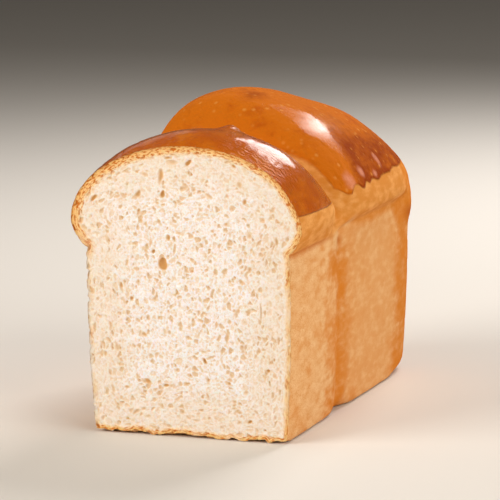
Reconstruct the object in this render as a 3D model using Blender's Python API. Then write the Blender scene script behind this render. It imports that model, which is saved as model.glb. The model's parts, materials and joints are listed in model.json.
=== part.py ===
"""A tin loaf of two lobes, cut straight across the front one.

The loaf is one solid. It stands on its flat underside at z = 0, its length runs along Y, and the cut
face looks towards -Y. Its surface is a set of meridians, each one running from the foot of the wall
up to the crest: pairs of them face each other along the sides, and a fan of them closes the heel.
"""

from dataclasses import dataclass

import bmesh
import bpy
import numpy as np

MM = 0.001

# The dough took these sizes from the tin, in millimetres. Heights are above the underside, and
# places along the loaf are distances from the cut face.
BASE_HALF_WIDTH = 60.8
RIM_HALF_WIDTH = 63.6
RIM_LENGTH = 229.5
BASE_LENGTH = 225.0
FOOT_RADIUS = 3.0
WALL_BOW = 1.2
TIN_CORNER_POWER = 12.0
BASE_SHIFT = -0.7

# The crease between the two lobes, from the groove in the walls up to the saddle on top.
CREASE_AT = 86.5
GROOVE_DEPTH_AT_BASE = 2.6
GROOVE_DEPTH_AT_RIM = 1.3
GROOVE_REACH = 9.0
RIM_STEP_REACH = 3.0
REAR_RIM_FROM = 106.5
REAR_RIM_REACH = 8.0
SADDLE_AT = 80.0
SADDLE_HEIGHT = 142.0
SADDLE_BLEND = 12.0
SHOULDER_SAG_AT_CREASE = 6.0

# The foot's edge is rounder just behind the crease, where the dough did not reach the tin's corner.
FOOT_LIFT = 6.0
FOOT_LIFT_AT = 93.0
FOOT_LIFT_REACH = 12.0

# It grows rounder again towards the heel.
HEEL_FOOT_LIFT = 8.0
HEEL_FOOT_FROM = 178.0
HEEL_FOOT_WHOLE_AT = 220.0

# The heel seen from above: how square the dome's corners are half way up and at the crest, how far
# it hangs over the tin's rim, and how far up it has left the tin's squareness behind.
DOME_CORNER_POWER = 4.3
CREST_CORNER_POWER = 2.6
HEEL_OVERHANG = 2.9
CORNER_OVERHANG = 1.2
CORNER_FADE = 0.55

# The dough that sagged over the rim at the heel's right corner: its place along the loaf and height,
# how far it reaches, and how far it stands out.
SAG_AT = (216.0, 109.0)
SAG_REACH = 10.5
SAG_OUT = 2.8

# The front lobe's right shoulder is a little flat at the cut: at what height, how far up and down
# and how far back that reaches, and how deep it is.
FLAT_AT = 140.0
FLAT_REACH = 15.0
FLAT_BACK = 30.0
FLAT_DEPTH = 3.0

# The slow unevenness of hand-shaped dough: how far a wall wanders, and over what distance.
WANDER = 0.45
WANDER_LENGTH = 31.0
WANDER_HEIGHT = 40.0


@dataclass(frozen=True)
class Lobe:
    """One risen lobe: what its cross-section is where it is fullest, and how far that reaches."""

    centre: float
    reach: float
    fullness: float
    softness: float
    shoulder_reach: float
    shoulder_fullness: float
    rim_height: float
    shoulder_height: float
    shoulder_half_width: float
    undercut_power: float
    undercut_start: float
    crest_height: float
    dome_power: float
    lean: float


FRONT = Lobe(
    centre=21.0,
    reach=60.0,
    fullness=2.0,
    softness=1.2,
    shoulder_reach=50.6,
    shoulder_fullness=1.85,
    rim_height=109.0,
    shoulder_height=125.0,
    shoulder_half_width=73.6,
    undercut_power=1.6,
    undercut_start=1.0,
    crest_height=178.1,
    dome_power=1.98,
    lean=8.0,
)
REAR = Lobe(
    centre=130.0,
    reach=130.0 - SADDLE_AT,
    fullness=2.75,
    softness=0.5,
    shoulder_reach=50.0,
    shoulder_fullness=2.0,
    rim_height=112.5,
    shoulder_height=121.5,
    shoulder_half_width=71.4,
    undercut_power=2.4,
    undercut_start=1.5,
    crest_height=190.0,
    dome_power=1.93,
    lean=-16.0,
)

# The lean of the lobes starts at this height, and is whole this much higher up.
LEAN_FROM = 125.0
LEAN_RISE = 60.0
LEAN_POWER = 1.3
LEAN_FROM_CUT = 18.0

# Swellings and hollows on the domes: where each lies, how far it reaches, how high it stands.
DOME_MARKS = (
    ((17.0, 32.0), 6.5, 4.0),
    ((9.0, 166.0), 17.0, -1.0),
    ((33.0, 189.0), 14.0, 1.3),
)

# How finely the surface is divided.
SIDE_STATIONS = 30
HEEL_MERIDIANS = 35
FOOT_STEPS = 4
WALL_STEPS = 8
UNDERCUT_STEPS = 5
DOME_STEPS = 16

CRUST_COLOUR = (0.56, 0.24, 0.07, 1.0)
CRUST_ROUGHNESS = 0.45
CRUMB_COLOUR = (0.87, 0.80, 0.68, 1.0)
CRUMB_ROUGHNESS = 0.9


def smooth_max(a, b, blend):
    """The larger of a and b, rounded where they cross."""
    share = np.clip(0.5 + 0.5 * (a - b) / blend, 0.0, 1.0)
    return b + (a - b) * share + blend * share * (1.0 - share)


def swell(y, centre, reach, fullness, softness=0.5):
    """1 at a lobe's centre and 0 at its reach, where a soft one runs out and a firm one turns down."""
    away = np.abs(y - centre) / reach
    return np.clip(1.0 - away**fullness, 0.0, 1.0) ** softness


def step(y, at, reach):
    """0 before a place along the loaf and 1 after it."""
    return 1.0 / (1.0 + np.exp(-(y - at) / reach))


def dent(y, at, reach, power):
    """1 at a place along the loaf, fading to 0 on both sides."""
    return np.exp(-(np.abs((y - at) / reach) ** power))


@dataclass(frozen=True)
class Section:
    """The cross-section at one place along the loaf, as half widths and heights."""

    foot: float
    base: float
    rim: float
    shoulder: float
    dome: float
    crest: float
    rim_height: float
    shoulder_height: float
    crest_height: float
    undercut_power: float
    undercut_start: float
    dome_power: float


def section_at(y):
    """The loaf's cross-section at y, blended from the two lobes and the crease between them."""
    rear = step(y, CREASE_AT, RIM_STEP_REACH)
    full_rim = step(y, REAR_RIM_FROM, REAR_RIM_REACH)
    crease = dent(y, CREASE_AT, GROOVE_REACH, 1.5)
    pinch = dent(y, CREASE_AT, GROOVE_REACH + 2.0, 1.6)
    behind = min(y, REAR.centre)

    def mixed(front_value, rear_value):
        return front_value * (1.0 - rear) + rear_value * rear

    domes = [
        lobe.shoulder_height
        + (lobe.crest_height - lobe.shoulder_height)
        * swell(at, lobe.centre, lobe.reach, lobe.fullness, lobe.softness)
        for lobe, at in ((FRONT, y), (REAR, behind))
    ]
    bulges = [
        (lobe.shoulder_half_width - RIM_HALF_WIDTH)
        * swell(at, lobe.centre, lobe.shoulder_reach, lobe.shoulder_fullness)
        for lobe, at in ((FRONT, y), (REAR, behind))
    ]
    rim = RIM_HALF_WIDTH - GROOVE_DEPTH_AT_RIM * crease
    shoulder = rim + smooth_max(bulges[0], bulges[1], 1.0)
    lowest_crest = smooth_max(domes[0], domes[1], 4.0)
    return Section(
        foot=FOOT_RADIUS + FOOT_LIFT * dent(y, FOOT_LIFT_AT, FOOT_LIFT_REACH, 2.0),
        base=BASE_HALF_WIDTH - GROOVE_DEPTH_AT_BASE * crease,
        rim=rim,
        shoulder=shoulder,
        dome=shoulder,
        crest=shoulder,
        rim_height=mixed(FRONT.rim_height, REAR.rim_height),
        shoulder_height=mixed(FRONT.shoulder_height, REAR.shoulder_height) - SHOULDER_SAG_AT_CREASE * pinch,
        crest_height=smooth_max(lowest_crest, SADDLE_HEIGHT, SADDLE_BLEND),
        undercut_power=FRONT.undercut_power * (1.0 - full_rim) + REAR.undercut_power * full_rim,
        undercut_start=FRONT.undercut_start * (1.0 - full_rim) + REAR.undercut_start * full_rim,
        dome_power=mixed(FRONT.dome_power, REAR.dome_power),
    )


def eased(share):
    """A share from 0 to 1 that starts and ends gently."""
    share = np.clip(share, 0.0, 1.0)
    return share * share * (3.0 - 2.0 * share)


def profile(section):
    """(distance from the spine, height) from the foot of the wall up to the crest."""
    quarter = 0.5 * np.pi
    points = []
    for turn in np.linspace(0.0, quarter, FOOT_STEPS):
        inset = section.foot * (1.0 - np.sin(turn))
        points.append((section.base - inset, section.foot * (1.0 - np.cos(turn))))
    for up in np.linspace(0.0, 1.0, WALL_STEPS)[1:]:
        out = section.base + (section.rim - section.base) * up + WALL_BOW * np.sin(np.pi * up)
        points.append((out, section.foot + (section.rim_height - section.foot) * up))
    for up in np.linspace(0.0, 1.0, UNDERCUT_STEPS)[1:]:
        filled = 1.0 - (1.0 - up**section.undercut_start) ** section.undercut_power
        out = section.rim + (section.shoulder - section.rim) * filled
        points.append((out, section.rim_height + (section.shoulder_height - section.rim_height) * up))
    rise = section.crest_height - section.shoulder_height
    for turn in np.linspace(0.0, quarter, DOME_STEPS)[1:]:
        risen = turn / quarter
        radius = section.shoulder + (section.dome - section.shoulder) * eased(risen / CORNER_FADE)
        radius += (section.crest - section.dome) * eased(risen)
        out = radius * np.cos(turn) ** (2.0 / section.dome_power)
        points.append((out, section.shoulder_height + rise * np.sin(turn) ** (2.0 / section.dome_power)))
    return np.array(points)


def plan_radius(angle, across, along, power):
    """The distance from the heel's pivot to a square-cornered curve, in a direction seen from above."""
    cosine = np.abs(np.cos(angle) / across) ** power
    sine = np.abs(np.sin(angle) / along) ** power
    return (cosine + sine) ** (-1.0 / power)


def heel_angles(side):
    """Directions round the heel, spread evenly over the rim's length and its turning together."""
    angle = np.linspace(0.0, np.pi, 2001)
    radius = plan_radius(angle, side.rim, RIM_LENGTH - REAR.centre, TIN_CORNER_POWER)
    x, y = radius * np.cos(angle), radius * np.sin(angle)
    length = np.hypot(np.diff(x), np.diff(y))
    turning = np.abs(np.diff(np.unwrap(np.arctan2(np.diff(y), np.diff(x))), append=0.0))
    turning[-1] = 0.0
    share = np.cumsum(length / length.sum() + turning / turning.sum())
    return np.interp(np.linspace(0.0, share[-1], HEEL_MERIDIANS + 2)[1:-1], share, angle[1:])


def heel_section(angle, side):
    """The section along one direction of the heel, from the straight sides' last section."""
    to_rim = RIM_LENGTH - REAR.centre
    rim = plan_radius(angle, side.rim, to_rim, TIN_CORNER_POWER)
    dome = plan_radius(angle, side.shoulder, to_rim + HEEL_OVERHANG, DOME_CORNER_POWER)
    crest = plan_radius(angle, side.shoulder, to_rim + HEEL_OVERHANG, CREST_CORNER_POWER)
    along = REAR.centre + rim * np.sin(angle)
    lifted = eased((along - HEEL_FOOT_FROM) / (HEEL_FOOT_WHOLE_AT - HEEL_FOOT_FROM))
    return Section(
        foot=side.foot + HEEL_FOOT_LIFT * lifted,
        base=plan_radius(angle, side.base, BASE_LENGTH - REAR.centre, TIN_CORNER_POWER),
        rim=rim,
        shoulder=smooth_max(dome, rim + CORNER_OVERHANG, 1.0),
        dome=dome,
        crest=crest,
        rim_height=side.rim_height,
        shoulder_height=side.shoulder_height,
        crest_height=side.crest_height,
        undercut_power=side.undercut_power,
        undercut_start=side.undercut_start,
        dome_power=side.dome_power,
    )


def settled(points):
    """The points with the lean of each lobe, the marks on the domes and the wander of the walls."""
    x, y, z = points.T.copy()
    rear = step(y, CREASE_AT, 2.0 * RIM_STEP_REACH)
    above = np.clip((z - LEAN_FROM) / LEAN_RISE, 0.0, 2.0) ** LEAN_POWER
    front_lean = FRONT.lean * (1.0 - np.exp(-y / LEAN_FROM_CUT))
    x += above * (front_lean * (1.0 - rear) + REAR.lean * rear)
    x += BASE_SHIFT * np.clip(1.0 - z / FRONT.rim_height, 0.0, 1.0)
    up = np.clip(z / REAR.rim_height, 0.0, 1.0)
    x += WANDER * up * np.sin(y / WANDER_LENGTH + z / WANDER_HEIGHT)
    away = (np.abs((y - SAG_AT[0]) / SAG_REACH) ** 3.0) + (np.abs((z - SAG_AT[1]) / SAG_REACH) ** 3.0)
    x += SAG_OUT * np.clip(x / BASE_HALF_WIDTH, 0.0, 1.0) * np.exp(-away)
    flat = ((z - FLAT_AT) / FLAT_REACH) ** 2 + (y / FLAT_BACK) ** 2
    x -= FLAT_DEPTH * np.clip(x / BASE_HALF_WIDTH, 0.0, 1.0) * np.exp(-flat)
    for (mark_x, mark_y), reach, height in DOME_MARKS:
        near = ((x - mark_x) ** 2 + (y - mark_y) ** 2) / reach**2
        z += np.where(z > LEAN_FROM, height * np.exp(-near), 0.0)
    return np.stack([x, y, z], axis=1)


def meridians():
    """Every meridian as points, from the right of the cut, round the heel, to the left of the cut."""
    stations = np.linspace(0.0, REAR.centre, SIDE_STATIONS)
    sections = [section_at(y) for y in stations]
    right = []
    for y, section in zip(stations, sections):
        out, height = profile(section).T
        right.append(np.stack([out, np.full(len(out), y), height], axis=1))
    heel = []
    for angle in heel_angles(sections[-1]):
        out, height = profile(heel_section(angle, sections[-1])).T
        along = REAR.centre + out * np.sin(angle)
        heel.append(np.stack([out * np.cos(angle), along, height], axis=1))
    left = [points * (-1.0, 1.0, 1.0) for points in reversed(right)]
    return [settled(points) for points in right + heel + left]


def centred(rows):
    """The meridians moved so that the origin is under the middle of the loaf's box."""
    everything = np.concatenate(rows)
    middle = 0.5 * (everything.min(axis=0) + everything.max(axis=0))
    middle[2] = 0.0
    return [row - middle for row in rows]


def add_skin(bm, rows):
    """Add the walls and the domes as a net of faces. Returns the vertices of each meridian."""
    net = []
    crests = {}
    for row in rows:
        points = [tuple(point * MM) for point in row]
        vertices = [bm.verts.new(point) for point in points[:-1]]
        # Facing meridians and the whole fan of the heel share the vertex at their crest.
        key = tuple(round(value, 7) for value in points[-1])
        if key not in crests:
            crests[key] = bm.verts.new(points[-1])
        net.append(vertices + [crests[key]])
    for here, following in zip(net, net[1:]):
        for low in range(len(here) - 1):
            corners = [here[low], following[low], following[low + 1], here[low + 1]]
            if corners[2] is corners[3]:
                corners.pop()
            bm.faces.new(corners)
    return net


def build_loaf():
    """Make the loaf as one closed mesh."""
    bm = bmesh.new()
    net = add_skin(bm, centred(meridians()))
    bm.faces.new(list(reversed(net[0])) + net[-1][:-1])
    bm.faces.new([meridian[0] for meridian in reversed(net)])
    bmesh.ops.recalc_face_normals(bm, faces=bm.faces)
    mesh = bpy.data.meshes.new("loaf")
    bm.to_mesh(mesh)
    bm.free()
    mesh.shade_smooth()
    mesh.set_sharp_from_angle(angle=np.radians(40.0))
    return mesh


def crust_material():
    """Golden-brown crust with a light glaze."""
    material = bpy.data.materials.new("crust")
    material.use_nodes = True
    shader = material.node_tree.nodes["Principled BSDF"]
    shader.inputs["Base Color"].default_value = CRUST_COLOUR
    shader.inputs["Roughness"].default_value = CRUST_ROUGHNESS
    return material


def crumb_material():
    """Cream-white crumb on the cut face."""
    material = bpy.data.materials.new("crumb")
    material.use_nodes = True
    shader = material.node_tree.nodes["Principled BSDF"]
    shader.inputs["Base Color"].default_value = CRUMB_COLOUR
    shader.inputs["Roughness"].default_value = CRUMB_ROUGHNESS
    return material


def dress(mesh):
    """Put the crumb's material on the cut face and the crust's on everything else."""
    mesh.materials.append(crust_material())
    mesh.materials.append(crumb_material())
    for face in mesh.polygons:
        face.material_index = 1 if face.normal.y < -0.99 else 0


def main():
    for old in list(bpy.data.objects):
        bpy.data.objects.remove(old)
    mesh = build_loaf()
    dress(mesh)
    loaf = bpy.data.objects.new("loaf", mesh)
    bpy.context.scene.collection.objects.link(loaf)


if __name__ == "__main__":
    main()
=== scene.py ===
"""A two-lobed tin loaf, cut across its front lobe, in a plain studio.

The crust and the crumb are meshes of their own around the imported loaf, which gives their size and
place. All working sizes are millimetres in the loaf's own frame: x across, y from the cut towards
the heel, z up from the underside.
"""

from __future__ import annotations

import json
import logging
import math
from dataclasses import dataclass, field
from typing import Sequence

import bmesh
import bpy
import numpy as np
from mathutils import Matrix, Vector, noise
from mathutils.geometry import delaunay_2d_cdt

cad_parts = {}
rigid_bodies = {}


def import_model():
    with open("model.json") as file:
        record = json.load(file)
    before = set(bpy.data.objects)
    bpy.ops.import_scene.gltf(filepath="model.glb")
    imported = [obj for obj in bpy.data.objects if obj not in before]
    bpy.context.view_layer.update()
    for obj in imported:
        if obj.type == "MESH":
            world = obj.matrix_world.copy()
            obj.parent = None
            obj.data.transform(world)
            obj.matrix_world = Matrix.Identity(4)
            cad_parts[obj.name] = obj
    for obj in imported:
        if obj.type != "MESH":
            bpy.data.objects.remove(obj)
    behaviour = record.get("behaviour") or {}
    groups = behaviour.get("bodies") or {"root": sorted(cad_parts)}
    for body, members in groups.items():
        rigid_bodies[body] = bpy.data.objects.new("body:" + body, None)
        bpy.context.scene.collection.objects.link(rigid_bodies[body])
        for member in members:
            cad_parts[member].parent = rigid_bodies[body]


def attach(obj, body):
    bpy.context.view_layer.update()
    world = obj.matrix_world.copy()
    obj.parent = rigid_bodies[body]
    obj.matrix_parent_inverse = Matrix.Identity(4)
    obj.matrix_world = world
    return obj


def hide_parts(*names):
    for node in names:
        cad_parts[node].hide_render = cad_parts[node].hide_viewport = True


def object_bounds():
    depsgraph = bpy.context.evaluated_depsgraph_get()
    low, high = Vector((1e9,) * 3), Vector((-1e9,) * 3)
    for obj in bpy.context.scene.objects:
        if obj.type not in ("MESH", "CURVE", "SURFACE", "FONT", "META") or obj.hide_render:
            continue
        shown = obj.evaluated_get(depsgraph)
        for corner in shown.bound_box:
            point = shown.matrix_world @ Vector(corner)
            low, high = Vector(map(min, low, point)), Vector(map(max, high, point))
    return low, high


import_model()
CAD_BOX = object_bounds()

log = logging.getLogger("tin_loaf")

MM = 0.001
LOAF_NODE = "loaf"

Array = np.ndarray
Colour = tuple[float, float, float]


# ---------------------------------------------------------------------------------------------
# Small number helpers
# ---------------------------------------------------------------------------------------------


def eased(share: Array | float) -> Array:
    """A share from 0 to 1 that starts and ends gently."""
    share = np.clip(share, 0.0, 1.0)
    return share * share * (3.0 - 2.0 * share)


def between(value: Array, low: float, high: float) -> Array:
    """0 below low, 1 above high, and an eased rise from one to the other."""
    return eased((value - low) / (high - low))


def smooth_max(a: Array, b: Array | float, blend: float) -> Array:
    """The larger of a and b, rounded where they cross."""
    share = np.clip(0.5 + 0.5 * (a - b) / blend, 0.0, 1.0)
    return b + (a - b) * share + blend * share * (1.0 - share)


def linear(colour: Sequence[float]) -> tuple[float, float, float, float]:
    """A display colour of 0 to 255 as the linear colour that a shader takes.

    Args:
        colour: Red, green and blue as they look on a display.

    Returns:
        Linear red, green and blue, with an alpha of 1.
    """
    out = []
    for value in colour:
        share = value / 255.0
        out.append(share / 12.92 if share <= 0.04045 else ((share + 0.055) / 1.055) ** 2.4)
    return (out[0], out[1], out[2], 1.0)


def rough_field(points: Array, size: float, octaves: int = 1, seed: float = 0.0) -> Array:
    """Smooth random values of about -1 to 1 at points.

    Args:
        points: Places in millimetres, one row each.
        size: Millimetres from one swelling to the next.
        octaves: How many finer layers are added.
        seed: Moves the pattern, so that two fields differ.

    Returns:
        One value for each point.
    """
    scaled = points / size + np.array([seed, 1.7 * seed, -0.9 * seed])
    if octaves == 1:
        return np.array([noise.noise(Vector(row)) for row in scaled])
    return np.array([noise.fractal(Vector(row), 0.9, 2.1, octaves) for row in scaled])


# ---------------------------------------------------------------------------------------------
# The loaf's outer form
# ---------------------------------------------------------------------------------------------


@dataclass(frozen=True)
class Lobe:
    """One risen lobe: what its cross-section is where it is fullest, and how far that reaches."""

    centre: float
    reach: float
    fullness: float
    softness: float
    shoulder_reach: float
    shoulder_fullness: float
    rim_height: float
    shoulder_height: float
    shoulder_half_width: float
    undercut_power: float
    undercut_start: float
    crest_height: float
    dome_power: float
    lean: float


@dataclass(frozen=True)
class Section:
    """Cross-sections along the loaf, each size as one value for each station."""

    foot: Array
    base: Array
    rim: Array
    shoulder: Array
    dome: Array
    crest: Array
    rim_height: Array
    shoulder_height: Array
    crest_height: Array
    undercut_power: Array
    undercut_start: Array
    dome_power: Array


@dataclass(frozen=True)
class Steps:
    """How finely a meridian is divided, from the middle of the underside up to the crest."""

    under: int
    foot: int
    wall: int
    undercut: int
    dome: int


@dataclass(frozen=True)
class LoafForm:
    """The smooth outer form that the tin and the two lobes give the loaf."""

    base_half_width: float = 60.8
    rim_half_width: float = 63.6
    rim_length: float = 229.5
    base_length: float = 225.0
    foot_radius: float = 3.0
    foot_lift: float = 6.0
    foot_lift_at: float = 93.0
    foot_lift_reach: float = 12.0
    heel_foot_lift: float = 8.0
    heel_foot_from: float = 178.0
    heel_foot_whole_at: float = 220.0
    wall_bow: float = 1.2
    tin_corner_power: float = 12.0
    base_shift: float = -0.7
    crease_at: float = 86.5
    groove_depth_at_base: float = 2.6
    groove_depth_at_rim: float = 1.3
    groove_reach: float = 9.0
    rim_step_reach: float = 3.0
    rear_rim_from: float = 106.5
    rear_rim_reach: float = 8.0
    saddle_height: float = 142.0
    saddle_blend: float = 12.0
    shoulder_sag_at_crease: float = 6.0
    dome_corner_power: float = 4.3
    crest_corner_power: float = 2.6
    heel_overhang: float = 2.9
    corner_overhang: float = 1.2
    corner_fade: float = 0.55
    sag_at: tuple[float, float] = (216.0, 109.0)
    sag_reach: float = 10.5
    sag_out: float = 2.8
    flat_at: float = 140.0
    flat_reach: float = 15.0
    flat_back: float = 30.0
    flat_depth: float = 3.0
    wander: float = 0.45
    wander_length: float = 31.0
    wander_height: float = 40.0
    lean_from: float = 125.0
    lean_rise: float = 60.0
    lean_power: float = 1.3
    lean_from_cut: float = 18.0
    front: Lobe = Lobe(21.0, 60.0, 2.0, 1.2, 50.6, 1.85, 109.0, 125.0, 73.6, 1.6, 1.0, 178.1, 1.98, 8.0)
    rear: Lobe = Lobe(130.0, 50.0, 2.75, 0.5, 50.0, 2.0, 112.5, 121.5, 71.4, 2.4, 1.5, 190.0, 1.93, -16.0)
    marks: tuple = (((17.0, 32.0), 6.5, 4.0), ((9.0, 166.0), 17.0, -1.0), ((33.0, 189.0), 14.0, 1.3))

    @staticmethod
    def swell(y: Array, centre: float, reach: float, fullness: float, softness: float = 0.5) -> Array:
        """1 at a lobe's centre and 0 at its reach."""
        away = np.abs(y - centre) / reach
        return np.clip(1.0 - away**fullness, 0.0, 1.0) ** softness

    @staticmethod
    def step(y: Array, at: float, reach: float) -> Array:
        """0 before a place along the loaf and 1 after it."""
        return 1.0 / (1.0 + np.exp(-(y - at) / reach))

    @staticmethod
    def dent(y: Array, at: float, reach: float, power: float) -> Array:
        """1 at a place along the loaf, fading to 0 on both sides."""
        return np.exp(-(np.abs((y - at) / reach) ** power))

    def section(self, y: Array) -> Section:
        """The cross-sections at places along the straight sides.

        Args:
            y: Distances from the cut, none beyond the rear lobe's centre.

        Returns:
            The sections, blended from the two lobes and the crease between them.
        """
        rear = self.step(y, self.crease_at, self.rim_step_reach)
        crease = self.dent(y, self.crease_at, self.groove_reach, 1.5)
        pinch = self.dent(y, self.crease_at, self.groove_reach + 2.0, 1.6)
        full_rim = self.step(y, self.rear_rim_from, self.rear_rim_reach)

        def mixed(size: str, share: Array) -> Array:
            """One of the lobes' sizes, by its name, with the rear lobe's share in it."""
            return getattr(self.front, size) * (1.0 - share) + getattr(self.rear, size) * share

        domes = [
            lobe.shoulder_height
            + (lobe.crest_height - lobe.shoulder_height)
            * self.swell(y, lobe.centre, lobe.reach, lobe.fullness, lobe.softness)
            for lobe in (self.front, self.rear)
        ]
        bulges = [
            (lobe.shoulder_half_width - self.rim_half_width)
            * self.swell(y, lobe.centre, lobe.shoulder_reach, lobe.shoulder_fullness)
            for lobe in (self.front, self.rear)
        ]
        rim = self.rim_half_width - self.groove_depth_at_rim * crease
        shoulder = rim + smooth_max(bulges[0], bulges[1], 1.0)
        lowest_crest = smooth_max(domes[0], domes[1], 4.0)
        lifted = self.dent(y, self.foot_lift_at, self.foot_lift_reach, 2.0)
        return Section(
            foot=self.foot_radius + self.foot_lift * lifted,
            base=self.base_half_width - self.groove_depth_at_base * crease,
            rim=rim,
            shoulder=shoulder,
            dome=shoulder,
            crest=shoulder,
            rim_height=mixed("rim_height", rear),
            shoulder_height=mixed("shoulder_height", rear) - self.shoulder_sag_at_crease * pinch,
            crest_height=smooth_max(lowest_crest, self.saddle_height, self.saddle_blend),
            undercut_power=mixed("undercut_power", full_rim),
            undercut_start=mixed("undercut_start", full_rim),
            dome_power=mixed("dome_power", rear),
        )

    @staticmethod
    def plan_radius(angle: Array, across: float, along: float, power: float) -> Array:
        """The distance from the heel's pivot to a square-cornered curve, seen from above."""
        cosine = np.abs(np.cos(angle) / across) ** power
        sine = np.abs(np.sin(angle) / along) ** power
        return (cosine + sine) ** (-1.0 / power)

    def heel_angles(self, count: int) -> Array:
        """Directions round the heel, spread evenly over the rim's length and its turning together."""
        angle = np.linspace(0.0, np.pi, 4001)
        to_rim = self.rim_length - self.rear.centre
        radius = self.plan_radius(angle, self.rim_half_width, to_rim, self.tin_corner_power)
        x, y = radius * np.cos(angle), radius * np.sin(angle)
        length = np.hypot(np.diff(x), np.diff(y))
        turning = np.abs(np.diff(np.unwrap(np.arctan2(np.diff(y), np.diff(x))), append=0.0))
        turning[-1] = 0.0
        share = np.cumsum(length / length.sum() + 0.5 * turning / turning.sum())
        return np.interp(np.linspace(0.0, share[-1], count + 2)[1:-1], share, angle[1:])

    def heel_section(self, angle: Array) -> Section:
        """The sections along directions of the heel, as the last straight one turned round it."""
        side = self.section(np.array([self.rear.centre]))
        to_rim = self.rim_length - self.rear.centre
        to_dome = to_rim + self.heel_overhang
        same = np.ones_like(angle)
        rim = self.plan_radius(angle, side.rim[0], to_rim, self.tin_corner_power)
        dome = self.plan_radius(angle, side.shoulder[0], to_dome, self.dome_corner_power)
        to_base = self.base_length - self.rear.centre
        along = self.rear.centre + rim * np.sin(angle)
        lifted = between(along, self.heel_foot_from, self.heel_foot_whole_at)
        return Section(
            foot=side.foot + self.heel_foot_lift * lifted,
            base=self.plan_radius(angle, side.base[0], to_base, self.tin_corner_power),
            rim=rim,
            shoulder=smooth_max(dome, rim + self.corner_overhang, 1.0),
            dome=dome,
            crest=self.plan_radius(angle, side.shoulder[0], to_dome, self.crest_corner_power),
            rim_height=side.rim_height * same,
            shoulder_height=side.shoulder_height * same,
            crest_height=side.crest_height * same,
            undercut_power=side.undercut_power * same,
            undercut_start=side.undercut_start * same,
            dome_power=side.dome_power * same,
        )

    def profile(self, section: Section, steps: Steps) -> tuple[Array, Array]:
        """Meridians from the middle of the underside to the crest.

        Args:
            section: The sections that the meridians follow.
            steps: How finely each stretch is divided.

        Returns:
            The distances from the spine and the heights, a row for each meridian.
        """
        quarter = 0.5 * np.pi
        base, rim = section.base[:, None], section.rim[:, None]
        shoulder, rise_to = section.shoulder[:, None], section.shoulder_height[:, None]
        share = np.linspace(0.0, 1.0, steps.under + 1)[None, :-1]
        radius = section.foot[:, None]
        under = (base - radius) * share
        turn = np.linspace(0.0, quarter, steps.foot + 1)[None, :]
        foot = base - radius * (1.0 - np.sin(turn))
        foot_height = radius * (1.0 - np.cos(turn))
        up = np.linspace(0.0, 1.0, steps.wall + 1)[None, 1:]
        wall = base + (rim - base) * up + self.wall_bow * np.sin(np.pi * up)
        wall_height = radius + (section.rim_height[:, None] - radius) * up
        up = np.linspace(0.0, 1.0, steps.undercut + 1)[None, 1:]
        filled = 1.0 - (1.0 - up ** section.undercut_start[:, None]) ** section.undercut_power[:, None]
        undercut = rim + (shoulder - rim) * filled
        undercut_height = section.rim_height[:, None] * (1.0 - up) + rise_to * up
        turn = np.linspace(0.0, quarter, steps.dome + 1)[None, 1:]
        risen = turn / quarter
        power = 2.0 / section.dome_power[:, None]
        radius = shoulder + (section.dome[:, None] - shoulder) * eased(risen / self.corner_fade)
        radius = radius + (section.crest - section.dome)[:, None] * eased(risen)
        dome = radius * np.clip(np.cos(turn), 0.0, 1.0) ** power
        dome_height = rise_to + (section.crest_height[:, None] - rise_to) * np.sin(turn) ** power
        out = np.concatenate([under, foot, wall, undercut, dome], axis=1)
        height = np.concatenate([under * 0.0, foot_height, wall_height, undercut_height, dome_height], axis=1)
        return out, height

    def settled(self, points: Array) -> Array:
        """The points with the lean of each lobe, the marks on the domes and the wander of the walls."""
        x, y, z = points[..., 0].copy(), points[..., 1], points[..., 2].copy()
        rear = self.step(y, self.crease_at, 2.0 * self.rim_step_reach)
        above = np.clip((z - self.lean_from) / self.lean_rise, 0.0, 2.0) ** self.lean_power
        front_lean = self.front.lean * (1.0 - np.exp(-y / self.lean_from_cut))
        x += above * (front_lean * (1.0 - rear) + self.rear.lean * rear)
        x += self.base_shift * np.clip(1.0 - z / self.front.rim_height, 0.0, 1.0)
        up = np.clip(z / self.rear.rim_height, 0.0, 1.0)
        x += self.wander * up * np.sin(y / self.wander_length + z / self.wander_height)
        away = np.abs((y - self.sag_at[0]) / self.sag_reach) ** 3.0
        away = away + np.abs((z - self.sag_at[1]) / self.sag_reach) ** 3.0
        x += self.sag_out * np.clip(x / self.base_half_width, 0.0, 1.0) * np.exp(-away)
        flat = ((z - self.flat_at) / self.flat_reach) ** 2 + (y / self.flat_back) ** 2
        x -= self.flat_depth * np.clip(x / self.base_half_width, 0.0, 1.0) * np.exp(-flat)
        for (mark_x, mark_y), reach, height in self.marks:
            near = ((x - mark_x) ** 2 + (y - mark_y) ** 2) / reach**2
            z += np.where(z > self.lean_from, height * np.exp(-near), 0.0)
        return np.stack([x, y, z], axis=-1)

    def sides(self, y: Array, steps: Steps) -> tuple[Array, Array]:
        """The right and the left meridians at places along the straight sides."""
        out, height = self.profile(self.section(y), steps)
        along = np.repeat(y[:, None], out.shape[1], axis=1)
        right = self.settled(np.stack([out, along, height], axis=-1))
        left = self.settled(np.stack([-out, along, height], axis=-1))
        return right, left

    def heel(self, angle: Array, steps: Steps) -> Array:
        """The meridians in directions round the heel."""
        out, height = self.profile(self.heel_section(angle), steps)
        across = out * np.cos(angle)[:, None]
        along = self.rear.centre + out * np.sin(angle)[:, None]
        return self.settled(np.stack([across, along, height], axis=-1))


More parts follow.
